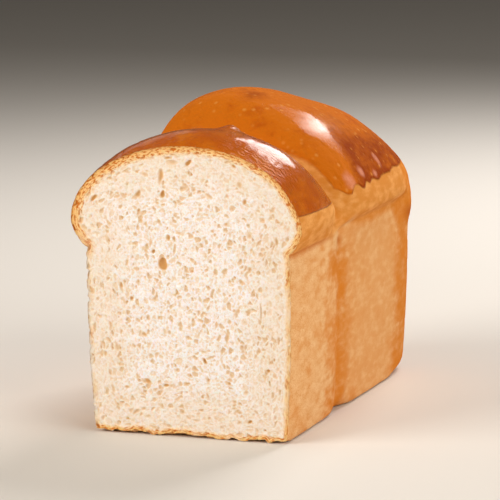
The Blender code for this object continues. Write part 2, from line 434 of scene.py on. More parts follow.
class Placing:
    """Where the loaf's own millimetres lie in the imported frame's metres."""

    def __init__(self, form: LoafForm, low: Vector, high: Vector) -> None:
        """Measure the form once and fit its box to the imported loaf's box."""
        steps = Steps(2, 6, 40, 12, 60)
        right, left = form.sides(np.linspace(0.0, form.rear.centre, 80), steps)
        heel = form.heel(form.heel_angles(120), steps)
        every = np.concatenate([right.reshape(-1, 3), left.reshape(-1, 3), heel.reshape(-1, 3)])
        self.form_low = every.min(axis=0)
        self.low = np.array(low)
        self.high = np.array(high)
        self.scale = (self.high - self.low) / (every.max(axis=0) - self.form_low)

    def to_frame(self, points: Array) -> Array:
        """Points in metres in the frame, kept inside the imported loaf's box."""
        placed = self.low + (points - self.form_low) * self.scale
        return np.clip(placed, self.low, self.high)

    def to_vector(self, x: float, y: float, z: float) -> Vector:
        """One place in metres in the frame, wherever it is."""
        return Vector(self.low + (np.array([x, y, z]) - self.form_low) * self.scale)


# ---------------------------------------------------------------------------------------------
# Meshes
# ---------------------------------------------------------------------------------------------


@dataclass
class Patch:
    """A stretch of a mesh: its points in millimetres, its faces, and a UV place for each corner."""

    points: Array
    faces: list[tuple[int, ...]]
    corners: Array

    def normals(self) -> Array:
        """A unit normal for each point, from the faces round it."""
        total = np.zeros_like(self.points)
        ends = np.array([(face[0], face[1], face[-2], face[-1]) for face in self.faces])
        a, b, c, d = (self.points[ends[:, k]] for k in range(4))
        crossing = np.cross(c - a, d - b)
        for k in range(4):
            np.add.at(total, ends[:, k], crossing)
        return total / np.maximum(np.linalg.norm(total, axis=1, keepdims=True), 1e-9)


def joined(patches: Sequence[Patch]) -> Patch:
    """One patch with the points and faces of several, none of them merged."""
    offsets = np.cumsum([0] + [len(patch.points) for patch in patches[:-1]])
    faces = [
        tuple(corner + int(offset) for corner in face)
        for patch, offset in zip(patches, offsets)
        for face in patch.faces
    ]
    points = np.concatenate([patch.points for patch in patches])
    return Patch(points, faces, np.concatenate([patch.corners for patch in patches]))


class MeridianNet:
    """The loaf's surface as a net. Its rows are meridians, from the right of the cut round to the left."""

    def __init__(self, form: LoafForm, stations: Array, heel_count: int, steps: Steps) -> None:
        """Lay out the net over the form.

        Args:
            form: The form that the net follows.
            stations: Places of the meridians along the straight sides, from the cut to the rear centre.
            heel_count: How many meridians close the heel.
            steps: How finely each meridian is divided.
        """
        right, left = form.sides(stations, steps)
        heel = form.heel(form.heel_angles(heel_count), steps)
        grid = np.concatenate([right, heel, left[::-1]])
        rows, columns = grid.shape[:2]
        count = len(stations)
        ids = np.arange(rows * columns).reshape(rows, columns)
        for end in (0, -1):
            ids[count:-count, end] = ids[count - 1, end]
            ids[-count:, end] = ids[:count, end][::-1]
        used, ids = np.unique(ids, return_inverse=True)
        self.ids = ids.reshape(rows, columns)
        self.points = grid.reshape(-1, 3)[used]
        self.ring = np.concatenate([self.ids[0], self.ids[-1, -2:0:-1]])
        spread = np.linalg.norm(np.diff(grid, axis=0), axis=2).max(axis=1)
        climb = np.linalg.norm(np.diff(grid, axis=1), axis=2).max(axis=0)
        self.across = np.concatenate([[0.0], np.cumsum(spread)]) / spread.sum()
        self.up = np.concatenate([[0.0], np.cumsum(climb)]) / climb.sum()

    def patch(self, uv_low: tuple[float, float], uv_high: tuple[float, float], inward: bool = False) -> Patch:
        """The net as a patch.

        Args:
            uv_low: The lower corner of its place in the UV square.
            uv_high: The upper corner of that place.
            inward: Whether its faces look towards the inside.

        Returns:
            The patch, with its points numbered as the net's are.
        """
        rows, columns = self.ids.shape
        turns = ((0, 0), (1, 0), (1, 1), (0, 1))
        order = turns[::-1] if inward else turns
        u = uv_low[0] + (uv_high[0] - uv_low[0]) * self.across
        v = uv_low[1] + (uv_high[1] - uv_low[1]) * self.up
        faces, corners = [], []
        for row in range(rows - 1):
            for column in range(columns - 1):
                seen: dict[int, tuple[float, float]] = {}
                for down, over in order:
                    point = int(self.ids[row + down, column + over])
                    seen.setdefault(point, (u[row + down], v[column + over]))
                faces.append(tuple(seen))
                corners.extend(seen.values())
        return Patch(self.points, faces, np.array(corners))


def strip(outer: Array, inner: Array, uv_low: tuple[float, float], uv_high: tuple[float, float]) -> Patch:
    """A closed band of faces between two rings of as many points.

    Args:
        outer: The first ring's points, which the band's faces meet in their own order.
        inner: The second ring's points.
        uv_low: The lower corner of its place in the UV square.
        uv_high: The upper corner of that place.

    Returns:
        The band, with the outer ring's points before the inner ring's.
    """
    count = len(outer)
    share = np.linspace(uv_low[0], uv_high[0], count + 1)
    faces, corners = [], []
    for k in range(count):
        after = (k + 1) % count
        faces.append((k, after, count + after, count + k))
        corners += [(share[k], uv_low[1]), (share[k + 1], uv_low[1])]
        corners += [(share[k + 1], uv_high[1]), (share[k], uv_high[1])]
    return Patch(np.concatenate([outer, inner]), faces, np.array(corners))


def make_object(
    name: str, patch: Patch, placing: Placing, fields: dict[str, Array], rim: Array
) -> bpy.types.Object:
    """Make a smooth mesh object from a patch.

    Args:
        name: The piece's name.
        patch: Its points and faces. Points that lie together are merged.
        placing: Where its millimetres lie in the frame.
        fields: Values for each point, which its material reads by name.
        rim: Points between which an edge stays sharp.

    Returns:
        The object, linked to the scene.
    """
    places, first, same = np.unique(
        np.round(patch.points, 4), axis=0, return_index=True, return_inverse=True
    )
    same = same.reshape(-1)
    mesh = bpy.data.meshes.new(name)
    faces = [tuple(int(same[corner]) for corner in face) for face in patch.faces]
    mesh.from_pydata(placing.to_frame(patch.points[first]).tolist(), [], faces)
    layer = mesh.uv_layers.new(name="OFBake")
    layer.data.foreach_set("uv", patch.corners.astype(np.float32).ravel())
    for title, values in fields.items():
        attribute = mesh.attributes.new(title, "FLOAT", "POINT")
        attribute.data.foreach_set("value", values[first].astype(np.float32))
    mesh.validate()
    mesh.shade_smooth()
    on_rim = np.zeros(len(places), bool)
    on_rim[same[rim]] = True
    ends = np.empty(2 * len(mesh.edges), int)
    mesh.edges.foreach_get("vertices", ends)
    sharp = mesh.attributes.new("sharp_edge", "BOOLEAN", "EDGE")
    sharp.data.foreach_set("value", on_rim[ends.reshape(-1, 2)].all(axis=1))
    piece = bpy.data.objects.new(name, mesh)
    bpy.context.scene.collection.objects.link(piece)
    return piece


# ---------------------------------------------------------------------------------------------
# Shaders
# ---------------------------------------------------------------------------------------------


class Signal:
    """A node's output socket, with sums and products written as plain expressions."""

    def __init__(self, shader: Shader, socket: bpy.types.NodeSocket) -> None:
        """Wrap an output socket of one of the shader's nodes."""
        self.shader = shader
        self.socket = socket

    def _math(self, operation: str, *values: Signal | float) -> Signal:
        """A Math node on these values."""
        return self.shader.node("ShaderNodeMath", {"operation": operation}, dict(enumerate(values)))

    def __add__(self, other: Signal | float) -> Signal:
        """The sum."""
        return self._math("ADD", self, other)

    __radd__ = __add__

    def __sub__(self, other: Signal | float) -> Signal:
        """This less the other."""
        return self._math("SUBTRACT", self, other)

    def __rsub__(self, other: float) -> Signal:
        """The other less this."""
        return self._math("SUBTRACT", other, self)

    def __mul__(self, other: Signal | float) -> Signal:
        """The product."""
        return self._math("MULTIPLY", self, other)

    __rmul__ = __mul__

    def between(self, low: float, high: float) -> Signal:
        """0 below low, 1 above high, and an eased rise from one to the other."""
        settings = {"interpolation_type": "SMOOTHSTEP"}
        sockets = {"Value": self, "From Min": low, "From Max": high}
        return self.shader.node("ShaderNodeMapRange", settings, sockets)


class Shader:
    """A material under construction."""

    def __init__(self, name: str) -> None:
        """Start a material with one Principled shader."""
        self.material = bpy.data.materials.new(name)
        self.material.use_nodes = True
        self.tree = self.material.node_tree
        self.surface = self.tree.nodes["Principled BSDF"]

    def node(self, kind: str, settings: dict, sockets: dict, output: int | str = 0) -> Signal:
        """Add a node.

        Args:
            kind: The node's type.
            settings: Its properties, set first. A list of stops goes to its colour ramp.
            sockets: Values or signals for its inputs, by name or by place.
            output: The output that is wanted.

        Returns:
            That output as a signal.
        """
        made = self.tree.nodes.new(kind)
        for title, value in settings.items():
            if title == "stops":
                self._set_stops(made.color_ramp, value)
            else:
                setattr(made, title, value)
        for title, value in sockets.items():
            self.feed(made.inputs[title], value)
        return Signal(self, made.outputs[output])

    @staticmethod
    def _set_stops(ramp: bpy.types.ColorRamp, stops: Sequence[tuple[float, Colour]]) -> None:
        """Give a ramp its stops, each a place from 0 to 1 and a display colour."""
        while len(ramp.elements) < len(stops):
            ramp.elements.new(1.0)
        for element, (place, colour) in zip(ramp.elements, stops):
            element.position = place
            element.color = linear(colour)

    def feed(self, socket: bpy.types.NodeSocket, value: object) -> None:
        """Link a signal to an input, or set the input's own value."""
        if isinstance(value, Signal):
            self.tree.links.new(value.socket, socket)
        else:
            socket.default_value = value

    def set(self, **sockets: object) -> None:
        """Give the Principled shader's inputs values or signals, with _ for a space in a name."""
        for title, value in sockets.items():
            self.feed(self.surface.inputs[title.replace("_", " ")], value)

    def place(self) -> Signal:
        """The place on the piece in millimetres."""
        place = self.node("ShaderNodeTexCoord", {}, {}, "Object")
        return self.node("ShaderNodeVectorMath", {"operation": "SCALE"}, {0: place, "Scale": 1.0 / MM})

    def stretched(self, place: Signal, stretch: tuple[float, float, float]) -> Signal:
        """The place with each direction's distances multiplied."""
        return self.node("ShaderNodeVectorMath", {"operation": "MULTIPLY"}, {0: place, 1: stretch})

    def field(self, name: str) -> Signal:
        """A value that the mesh carries for each point."""
        return self.node("ShaderNodeAttribute", {"attribute_name": name}, {}, "Fac")

    def noise(self, place: Signal, size: float, detail: float = 2.0, distortion: float = 0.0) -> Signal:
        """Cloudy values of about 0 to 1, with swellings of a size in millimetres."""
        sockets = {"Vector": place, "Scale": 1.0 / size, "Detail": detail, "Distortion": distortion}
        return self.node("ShaderNodeTexNoise", {}, sockets)

    def creases(self, place: Signal, size: float, detail: float = 2.0) -> Signal:
        """A web of ridges of about 0 to 1, with a spacing in millimetres."""
        sockets = {"Vector": place, "Scale": 1.0 / size, "Detail": detail, "Offset": 1.0, "Gain": 1.0}
        return self.node("ShaderNodeTexNoise", {"noise_type": "RIDGED_MULTIFRACTAL"}, sockets)

    def cells(self, place: Signal, size: float, randomness: float = 1.0) -> Signal:
        """The distance to the nearest of scattered points, as a share of their spacing."""
        sockets = {"Vector": place, "Scale": 1.0 / size, "Randomness": randomness}
        return self.node("ShaderNodeTexVoronoi", {}, sockets)

    def mix(self, share: Signal | float, a: object, b: object) -> Signal:
        """A colour between two, each a signal or a display colour."""
        settings = {"data_type": "RGBA", "blend_type": "MIX", "clamp_factor": True}
        colours = [value if isinstance(value, Signal) else linear(value) for value in (a, b)]
        return self.node("ShaderNodeMix", settings, {0: share, 6: colours[0], 7: colours[1]}, 2)

    def ramp(self, share: Signal, stops: Sequence[tuple[float, Colour]]) -> Signal:
        """A colour from a row of stops."""
        return self.node("ShaderNodeValToRGB", {"stops": stops}, {0: share}, "Color")

    def bump(self, height: Signal, strength: float = 1.0) -> Signal:
        """A normal from a height in millimetres."""
        return self.node("ShaderNodeBump", {}, {"Height": height, "Distance": MM, "Strength": strength})


@dataclass(frozen=True)
class CrustFinish:
    """Baked crust: bare tan walls, and an egg glaze on the domes that browned deeper, with painted shade and
    painted glints in its colour.
    """

    wall: Colour = (236, 193, 141)
    wall_shade: Colour = (223, 162, 101)
    bare: Colour = (230, 163, 92)
    bare_shade: Colour = (211, 136, 60)
    # Browned crust colour, also used for the painted shade under the rear ledge.
    toast: Colour = (210, 122, 28)
    glaze: Colour = (186, 88, 12)
    glaze_bright: Colour = (204, 108, 16)
    glaze_dark: Colour = (148, 60, 4)
    blister: Colour = (222, 146, 66)
    # Painted reflection: the pale pinkish colour of the glints on the glaze.
    glint: Colour = (224, 150, 122)
    # Painted shade for the fine folds.
    crease: Colour = (186, 98, 30)
    coat_roughness: float = 0.12
    coat_ior: float = 1.4

    def material(self) -> bpy.types.Material:
        """Build the material. It reads the crust's own fields."""
        shader = Shader("baked_crust")
        place = shader.place()
        drawn = shader.stretched(place, (0.6, 0.45, 1.0))
        wide = shader.noise(place, 16.0, 3.0)
        mottle = shader.noise(drawn, 4.4, 3.0)
        grain = shader.noise(place, 0.8, 2.0)
        rear = shader.field("rear")
        above = shader.field("above_border") + (shader.noise(place, 2.8, 2.0) - 0.5) * 0.6
        glazed = (above * (1.0 - 0.5 * rear)).between(-0.4, 0.4)

        cloudy = mottle * 0.6 + wide * 0.4
        # The rear share darkens the rear wall and bare crust toward their shade colours: painted shade, as
        # the rear of the loaf gets less light. cloudy and mottle vary the tone at random.
        wall = shader.mix((cloudy + 0.13 * rear).between(0.3, 0.7), self.wall, self.wall_shade)
        bare = shader.mix((mottle + 0.06 * rear).between(0.3, 0.7), self.bare, self.bare_shade)
        bare = shader.mix(shader.field("bare"), wall, bare)
        # Browning of the bare crust, with the painted shade under the rear ledge in it.
        toasted_and_shaded = shader.field("toast") + (mottle - 0.5) * 1.1 + (wide - 0.5) * 1.2
        bare = shader.mix(toasted_and_shaded.between(0.05, 1.2) * 0.9, bare, self.toast)
        speckled = 0.2 + 0.5 * shader.field("near_cut")
        bare = shader.mix(grain.between(0.45, 0.7) * speckled, bare, self.bare_shade)
        # Painted shade: the folds are darkened toward the crease colour.
        bare = shader.mix(shader.field("crease"), bare, self.crease)

        # The rear share lifts the rear lobe's glaze toward glaze_bright: painted light, as the rear dome
        # faces the key light. wide and mottle vary the tone at random.
        deep = (wide + (mottle - 0.5) * 0.6 + rear * 0.25).between(0.38, 0.75)
        glaze = shader.mix(deep, self.glaze, self.glaze_bright)
        pooled = (1.0 - above.between(0.2, 2.6)) * (0.15 + shader.field("drip") * 0.6)
        dark = (shader.field("char") + (mottle - 0.5) * (1.4 - 0.5 * rear) + pooled).between(0.15, 1.0)
        glaze = shader.mix(dark, glaze, self.glaze_dark)
        spots = 1.0 - shader.cells(place, 6.5).between(0.04, 0.3)
        scattered = shader.noise(place, 14.0, 1.0).between(0.4, 0.58) * (0.15 + rear * 0.55)
        glaze = shader.mix(spots * scattered, glaze, self.blister)
        # Painted reflection: the glint field turns the glaze pale pinkish where a glint shows.
        glint = (shader.field("glint") + (mottle - 0.5) * 0.8).between(0.3, 1.0)
        glaze = shader.mix(glint * 0.7, glaze, self.glint)

        along_arch = shader.stretched(place, (0.4, 1.0, 0.4))
        wrinkles = shader.creases(along_arch, 2.4) * (1.0 - rear * 0.7)
        fine = shader.noise(along_arch, 1.2, 3.0) * (1.0 - rear * 0.7)
        ripple = shader.noise(place, 4.0, 2.0) * (0.5 + rear * 0.7)
        height = (grain - 0.5) * 0.12 + glazed * (0.1 + wrinkles * 0.3 + fine * 0.9 + ripple)
        shader.set(
            Base_Color=shader.mix(glazed, bare, glaze),
            Roughness=0.85 - 0.72 * glazed * (1.0 - rear),
            Coat_Weight=glazed * shader.field("shine") * (0.7 + 0.3 * mottle.between(0.3, 0.7)),
            Coat_Roughness=self.coat_roughness,
            Coat_IOR=self.coat_ior,
            Normal=shader.bump(height),
            Specular_IOR_Level=0.05,
        )
        return shader.material


@dataclass(frozen=True)
class CrumbFinish:
    """Soft open crumb: cream walls, painted shade in the cells, a painted paler centre, and a golden band
    next to the crust.
    """

    cream: Colour = (250, 248, 251)
    cream_shade: Colour = (244, 234, 224)
    # cell and pore are painted shade, laid into the cut's pits by their depth.
    cell: Colour = (236, 210, 179)
    pore: Colour = (213, 160, 99)
    band_inner: Colour = (248, 222, 178)
    band: Colour = (243, 200, 136)
    band_outer: Colour = (238, 184, 112)
    band_cell: Colour = (204, 116, 34)
    scatter_distance: float = 1.6

    def material(self) -> bpy.types.Material:
        """Build the material. It reads the crumb's own fields."""
        shader = Shader("soft_crumb")
        place = shader.place()
        soft = shader.noise(place, 9.0, 2.0)
        fine = shader.noise(place, 0.8, 3.0)
        pit = shader.field("pit")
        # Painted light: the cut is paler toward its centre, which the light lit brighter, and goes toward
        # cream_shade near the crust.
        pale = (shader.field("heart") + (soft - 0.5) * 1.4).between(0.0, 1.0)
        colour = shader.mix(pale, self.cream_shade, self.cream)
        # Painted shade: tan specks between the crumb's fine ridges, and the pits darkened by their depth
        # toward cell and pore.
        granular_shade = shader.noise(place, 1.3, 2.0).between(0.48, 0.7) * 0.55
        colour = shader.mix(granular_shade, colour, self.cell)
        colour = shader.mix((pit + (fine - 0.5) * 0.4).between(0.05, 0.5), colour, self.cell)
        colour = shader.mix(pit.between(0.45, 1.1), colour, self.pore)
        sockets = {0: shader.field("round") * 0.45, 1: shader.field("skin") * 1.15}
        drawn = shader.node("ShaderNodeCombineXYZ", {}, sockets)
        share = shader.field("band") + (shader.noise(drawn, 1.8, 3.0) - 0.5) * 0.7
        band = shader.ramp(share, ((0.0, self.band_outer), (0.35, self.band), (0.8, self.band_inner)))
        flecks = (pit * 0.8 + (shader.noise(drawn, 1.0, 3.0) - 0.5) * 2.6).between(0.0, 0.55)
        flecks = flecks * (1.0 - share.between(0.5, 1.0)) * shader.field("flecked")
        band = shader.mix(flecks, band, self.band_cell)
        colour = shader.mix((1.0 - share).between(0.0, 0.5) * shader.field("browning"), colour, band)
        shader.set(
            Base_Color=colour,
            Roughness=0.9,
            Normal=shader.bump((fine - 0.5) * 0.18),
            Subsurface_Weight=0.35,
            Subsurface_Radius=(1.0, 0.62, 0.38),
            Subsurface_Scale=self.scatter_distance * MM,
            Specular_IOR_Level=0.25,
        )
        return shader.material


@dataclass(frozen=True)
class FloorFinish:
    """A plain pale matt floor."""

    colour: Colour = (224, 218, 210)

    def material(self) -> bpy.types.Material:
        """Build the material."""
        shader = Shader("floor")
        shader.set(Base_Color=linear(self.colour), Roughness=0.9)
        return shader.material


# ---------------------------------------------------------------------------------------------
# Crust
# ---------------------------------------------------------------------------------------------


@dataclass(frozen=True)
class Drip:
    """A drip of glaze: where it ran down beside the rear lobe, how far, and half its width."""

    y: float
    drop: float
    reach: float


@dataclass(frozen=True)
class Spot:
    """A soft mark: the place of its middle, and how far it reaches along x, y and z."""

    middle: tuple[float, float, float]
    reach: tuple[float, float, float]

    def share(self, points: Array) -> Array:
        """1 at its middle, fading to 0 round it."""
        return np.exp(-((((points - self.middle) / self.reach) ** 2).sum(axis=1)))


@dataclass
class Crust:
    """The crust: a shell round the loaf, open at the cut, whose edge slopes in behind the crumb."""

    form: LoafForm
    placing: Placing
    steps: Steps = Steps(36, 5, 72, 12, 80)
    stations: int = 96
    heel_meridians: int = 170
    inner_stations: int = 16
    inner_heel_meridians: int = 30
    thickness: float = 3.0
    edge_slope: float = 4.0
    allowance: float = 0.3
    ragged_lift: float = 1.3
    ragged_reach: float = 9.0
    fray_depth: float = 1.3
    fray_reach: float = 3.5
    front_border: float = 131.6
    front_end: float = 73.5
    rear_border: float = 135.6
    rear_start: float = 87.5
    drips: tuple[Drip, ...] = (
        Drip(95.5, 4.8, 5.5),
        Drip(113.5, 3.4, 4.2),
        Drip(125.6, 1.7, 3.2),
        Drip(140.5, 1.8, 5.5),
    )
    # Painted reflection: the glints on the rear lobe's glaze, each also raised a little.
    glints: tuple[Spot, ...] = (
        Spot((64.5, 101.0, 139.0), (9.0, 6.5, 7.0)),
        Spot((65.5, 119.0, 141.5), (9.0, 4.5, 5.0)),
        Spot((63.5, 154.0, 144.0), (9.0, 4.0, 6.0)),
        Spot((67.5, 139.0, 138.0), (9.0, 4.0, 3.0)),
    )
    thick_glaze: Spot = Spot((39.5, 126.0, 168.5), (9.5, 24.0, 8.5))
    thin_glaze: Spot = Spot((61.5, 17.0, 156.0), (6.0, 10.0, 5.0))
    facet: Spot = Spot((43.0, 13.0, 167.0), (15.0, 8.0, 13.0))
    crease_fold: Spot = Spot((62.0, 87.0, 104.5), (6.0, 3.0, 2.5))
    right_fold: Spot = Spot((64.0, 213.0, 103.5), (8.0, 8.0, 4.5))
    left_fold: Spot = Spot((-64.0, 214.0, 106.0), (6.0, 8.0, 3.0))
    wall_bottom: tuple[float, float] = (3.0, 14.0)
    wall_top: tuple[float, float] = (100.0, 110.0)
    swelling: float = 0.22
    swelling_size: float = 17.0
    grain: float = 0.04
    grain_size: float = 3.2
    wrinkle: float = 0.3
    wrinkle_size: float = 5.5
    glaze_edge: float = 0.1
    glaze_drip_edge: float = 0.05
    glint_rise: float = 0.4
    facet_depth: float = 0.5
    dent_depth: float = 0.2
    dent_size: float = 7.5
    crease_depth: float = 0.45
    toast_at_crease: float = 0.72
    toast_reach: float = 27.0
    streak: float = 0.25
    streak_reach: float = 11.0
    toast_at_heel: float = 0.95
    toast_at_foot: float = 0.2
    painted_shade_at_ledge: float = 0.3
    toast_drift: float = 0.12
    drift_size: float = 30.0
    char_on_flank: float = 0.78
    char_on_crest: float = 0.35
    char_drift: float = 0.35
    char_size: float = 26.0
    finish: CrustFinish = field(default_factory=CrustFinish)
    ring: Array = field(init=False)

    def along(self, count: int, start: float) -> Array:
        """Stations from start to the rear lobe's centre, closer together at the cut and the crease."""
        y = np.linspace(start, self.form.rear.centre, 800)
        density = 1.0 + 0.9 * self.form.dent(y, self.form.crease_at - 4.0, 16.0, 2.0) + 0.8 * np.exp(-y / 6.0)
        share = np.concatenate([[0.0], np.cumsum(0.5 * (density[1:] + density[:-1]))])
        return np.interp(np.linspace(0.0, share[-1], count), share, y)

    def rear_share(self, points: Array) -> Array:
        """0 on the front lobe and 1 on the rear one."""
        crease = self.form.crease_at - 0.10 * np.clip(points[:, 2] - 120.0, 0.0, 80.0)
        return between(points[:, 1], crease - 2.0, crease + 2.0)

    def above_border(self, points: Array) -> Array:
        """How many millimetres a point lies inside the glaze, below 0 where the crust is bare."""
        x, y, z = points.T
        wave = rough_field(points * (1.0, 1.0, 0.2), 13.0, seed=3.0)
        front = np.minimum(z - self.front_border - 0.5 * wave, self.front_end - 0.05 * (z - 120.0) - y)
        shown = (x > 0) & (y < 165.0)
        low = self.rear_border - self.dripped(points) + np.where(shown, 0.2, 2.0) * wave
        rear = np.minimum(z - low, y - self.rear_start - 0.8 * wave)
        return np.maximum(front, rear)

    def dripped(self, points: Array) -> Array:
        """How far the glaze ran down below its border."""
        runs = [drip.drop * self.form.dent(points[:, 1], drip.y, drip.reach, 2.4) for drip in self.drips]
        return np.where(points[:, 0] > 0, sum(runs), 0.0)

    def relief(self, points: Array) -> Array:
        """How far each point stands out from the smooth form, never above 0."""
        z = points[:, 2]
        above = self.above_border(points)
        glazed = between(above, -0.5, 2.0)
        rear = self.rear_share(points)
        slow = self.swelling * rough_field(points, self.swelling_size, seed=1.0)
        grain = self.grain * rough_field(points, self.grain_size, seed=5.0) * (1.0 - glazed)
        wrinkles = np.abs(rough_field(points * (1.0, 0.6, 1.0), self.wrinkle_size, 3, seed=9.0))
        wrinkles = -self.wrinkle * wrinkles * glazed * (1.0 - 0.4 * rear)
        edge = self.glaze_edge + self.glaze_drip_edge * self.dripped(points)
        pooled = self.form.dent(above, 1.4, 1.6, 2.0) * edge + self.glint_rise * self.glint(points)
        facet = -self.facet_depth * self.facet.share(points)
        wall = between(z, *self.wall_bottom) * (1.0 - between(z, *self.wall_top))
        dents = between(rough_field(points, self.dent_size, 2, seed=13.0), 0.25, 0.8)
        dents = -self.dent_depth * dents * wall
        folds = -self.crease_depth * self.crease(points)
        return slow + grain + wrinkles + facet + pooled + dents + folds - self.allowance

    def crease(self, points: Array) -> Array:
        """1 in the fine folds: under the front lobe, where the lobes meet and at the heel's corners. It
        deepens the folds and darkens them with painted shade.
        """
        y, z = points[:, 1], points[:, 2]
        ledge = self.form.dent(z, self.form.front.rim_height - 0.2, 1.3, 2.0) * (1.0 - between(y, 48.0, 80.0))
        fold = 0.8 * self.crease_fold.share(points)
        corners = self.right_fold.share(points) + self.left_fold.share(points)
        return np.clip(0.75 * ledge + fold + 0.9 * corners, 0.0, 1.0)

    def glint(self, points: Array) -> Array:
        """1 at the glints above the drips, where the glaze is raised a little and painted pale pinkish as a
        painted reflection.
        """
        return sum(glint.share(points) for glint in self.glints)

    def ragged(self, points: Array) -> Array:
        """How far the underside's edge is torn up next to the cut."""
        y, z = points[:, 1], points[:, 2]
        torn = between(rough_field(points * (0.3, 0.3, 0.0), 3.6, 5, seed=21.0), -0.3, 0.05)
        near = (1.0 - between(y, 1.0, self.ragged_reach)) * (1.0 - between(z, 0.5, 5.0))
        return self.ragged_lift * torn * near

    def frayed(self, points: Array) -> Array:
        """How far the walls' edge is worn back at the cut."""
        x, y, z = points.T
        worn = between(rough_field(points * (1.0, 0.5, 1.0), 3.4, 3, seed=23.0), -0.2, 0.8)
        near = (1.0 - between(y, 0.0, self.fray_reach)) * (1.0 - between(z, 112.0, 128.0))
        return self.fray_depth * worn * near * np.where(x < 0, 1.0, 0.6)

    def toast(self, points: Array) -> Array:
        """How browned the bare wall is, with painted shade under the rear lobe's ledge added in."""
        y, z = points[:, 1], points[:, 2]
        zone = self.toast_at_crease * self.form.dent(y, self.form.crease_at - 6.0, self.toast_reach, 2.0)
        streak = self.streak * self.form.dent(y, self.form.crease_at + 3.0, self.streak_reach, 2.0)
        clear = 1.0 - 0.7 * between(z, 96.0, 108.0)
        heel = self.toast_at_heel * between(y, 172.0, 203.0) * (1.0 - 0.35 * between(y, 222.0, 229.0))
        foot = self.toast_at_foot * (1.0 - between(z, *self.wall_bottom))
        drift = self.toast_drift * rough_field(points, self.drift_size, 2, seed=31.0)
        # Painted shade under the rear lobe's overhanging ledge.
        ledge = self.painted_shade_at_ledge * self.form.dent(z, 108.0, 5.0, 2.0) * between(y, 98.0, 115.0)
        return np.clip((zone + streak) * clear + heel + foot + ledge + drift, 0.0, 1.0)

    def fields(self, points: Array) -> dict[str, Array]:
        """The values that the finish reads."""
        y, z = points[:, 1], points[:, 2]
        rear = self.rear_share(points)
        thick = self.thick_glaze.share(points)
        thin = 0.7 * self.thin_glaze.share(points)
        browned = self.char_on_flank * between(points[:, 0], 32.0, 60.0) * between(y, 96.0, 125.0)
        browned = browned + self.char_on_crest * between(z, 176.0, 190.0)
        return {
            "above_border": self.above_border(points),
            "rear": rear,
            "shine": np.clip(0.95 - thin - 0.9 * rear * (1.0 - thick), 0.0, 1.0),
            "glint": self.glint(points),
            "drip": np.clip(self.dripped(points) / 4.0, 0.0, 1.0),
            "near_cut": 1.0 - between(y, 10.0, 75.0),
            "toast": self.toast(points),
            "bare": between(z - 9.0 * self.form.dent(y, 97.0, 11.0, 2.0), 106.0, 112.0),
            "crease": self.crease(points),
            "char": browned + self.char_drift * rough_field(points, self.char_size, 2, seed=41.0),
        }

    def build(self) -> bpy.types.Object:
        """Build the shell and dress it."""
        net = MeridianNet(self.form, self.along(self.stations, 0.0), self.heel_meridians, self.steps)
        outer = net.patch((0.002, 0.08), (0.998, 0.998))
        smooth = net.points.copy()
        normal = outer.normals()
        normal[smooth[:, 1] < 0.5, 1] = 0.0
        outer.points = smooth + normal * (self.relief(smooth) - self.frayed(smooth))[:, None]
        outer.points[:, 2] += self.ragged(smooth)
        outer.points[:, 2] = np.maximum(outer.points[:, 2], 0.0)
        self.ring = outer.points[net.ring]

        lining = self.lining(self.thickness, self.edge_slope)
        inner = lining.patch((0.002, 0.01), (0.9, 0.05), inward=True)
        edge = strip(self.ring, lining.points[lining.ring], (0.002, 0.055), (0.998, 0.075))
        whole = joined([outer, inner, edge])
        piece = make_object("crust", whole, self.placing, self.fields(whole.points), net.ring)
        piece.data.materials.append(self.finish.material())
        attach(piece, "root")
        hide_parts(LOAF_NODE)
        return piece

    def lining(self, depth: float, start: float) -> MeridianNet:
        """The form at a depth under the skin, from start millimetres behind the cut."""
        stations = self.along(self.inner_stations, start)
        net = MeridianNet(self.form, stations, self.inner_heel_meridians, self.steps)
        normal = net.patch((0.0, 0.0), (1.0, 1.0)).normals()
        normal[net.ring, 1] = 0.0
        net.points = net.points - normal * depth
        return net


# ---------------------------------------------------------------------------------------------
# Crumb
# ---------------------------------------------------------------------------------------------


@dataclass(frozen=True)
class Pore:
    """One large opened bubble: its middle, size, turn in degrees, and depth for its narrower size."""

    x: float
    z: float
    width: float
    height: float
    turn: float
    depth: float


@dataclass(frozen=True)
class Foam:
    """Cells of about one size that fill the whole cut, with thin walls between them."""

    spacing: float
    wall: float
    shallow: float
    deep: float
    deep_share: float


@dataclass(frozen=True)
class Bubbles:
    """Single bubbles of one kind, scattered over the cut."""

    count: int
    least: float
    most: float
    depth: float


